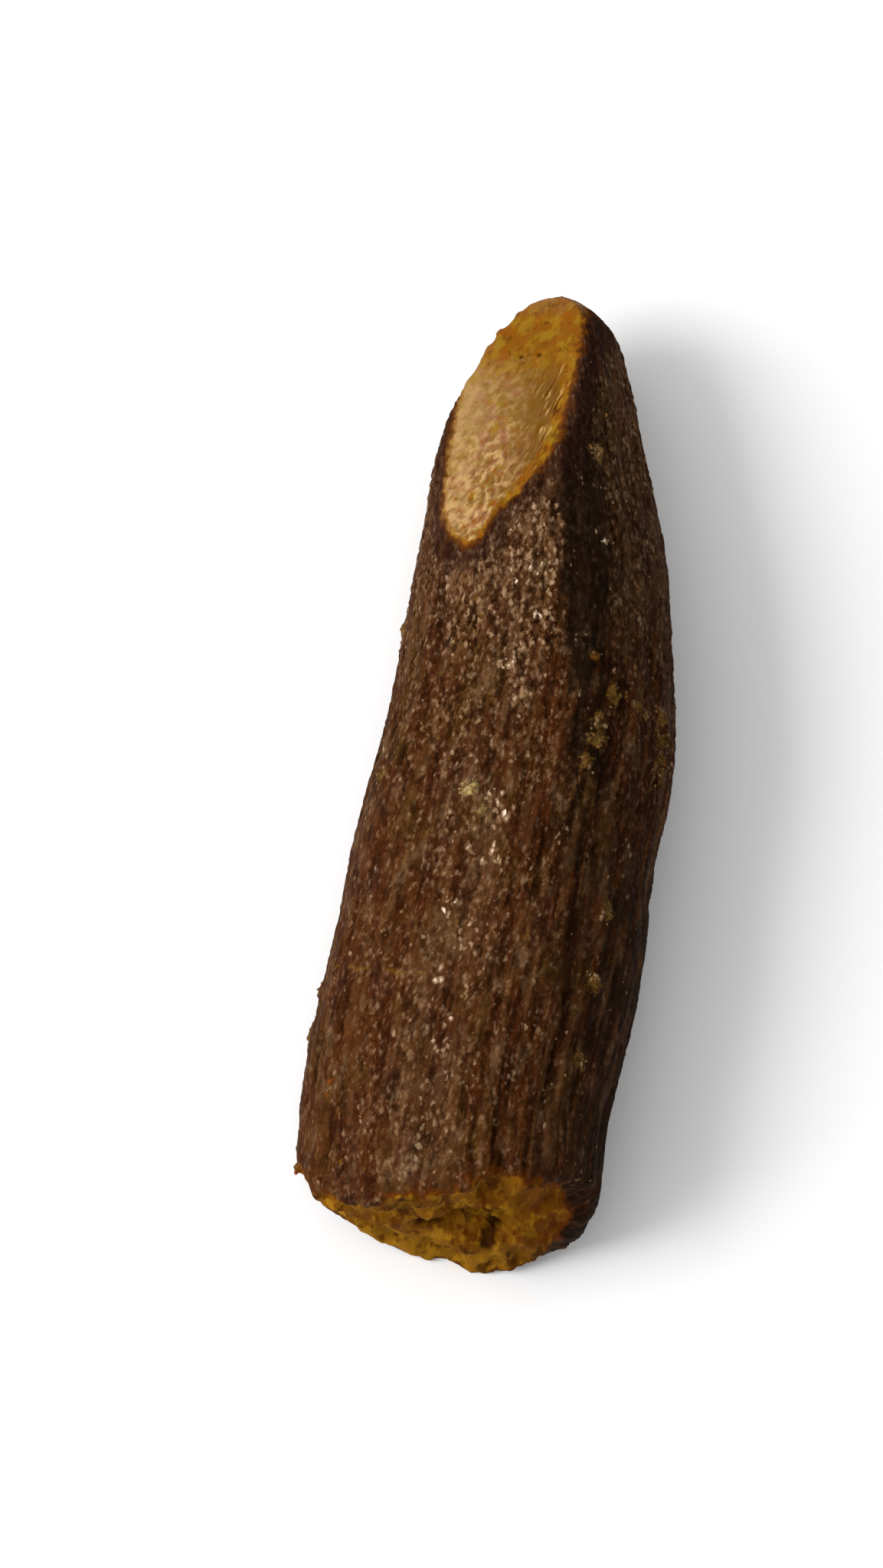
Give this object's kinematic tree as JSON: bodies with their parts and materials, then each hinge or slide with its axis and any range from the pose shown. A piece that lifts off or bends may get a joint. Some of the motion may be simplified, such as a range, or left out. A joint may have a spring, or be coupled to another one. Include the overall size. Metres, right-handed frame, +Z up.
{
  "type": "fossil dinosaur tooth",
  "caption": "Fossil peg tooth of a plant-eating sauropod, lying down: brown fluted crown, slanting wear facet at the tip, crumbly broken root end.",
  "frame": {"origin": "under the middle of the tooth, on the surface that it lies on", "axes": "+Y along the tooth from the broken root end to the worn tip, +Z up, +X across it, away from the side that the worn facet faces"},
  "size_m": [0.0114, 0.0354, 0.0094],
  "materials": {
    "fossil": "mineralised dark brown enamel with fine lengthwise striae and a soft gloss, honey-coloured dentine on the wear facet, ochre crumbly root break"
  },
  "bodies": {
    "root": {"tooth": "fossil"}
  },
  "joints": []
}
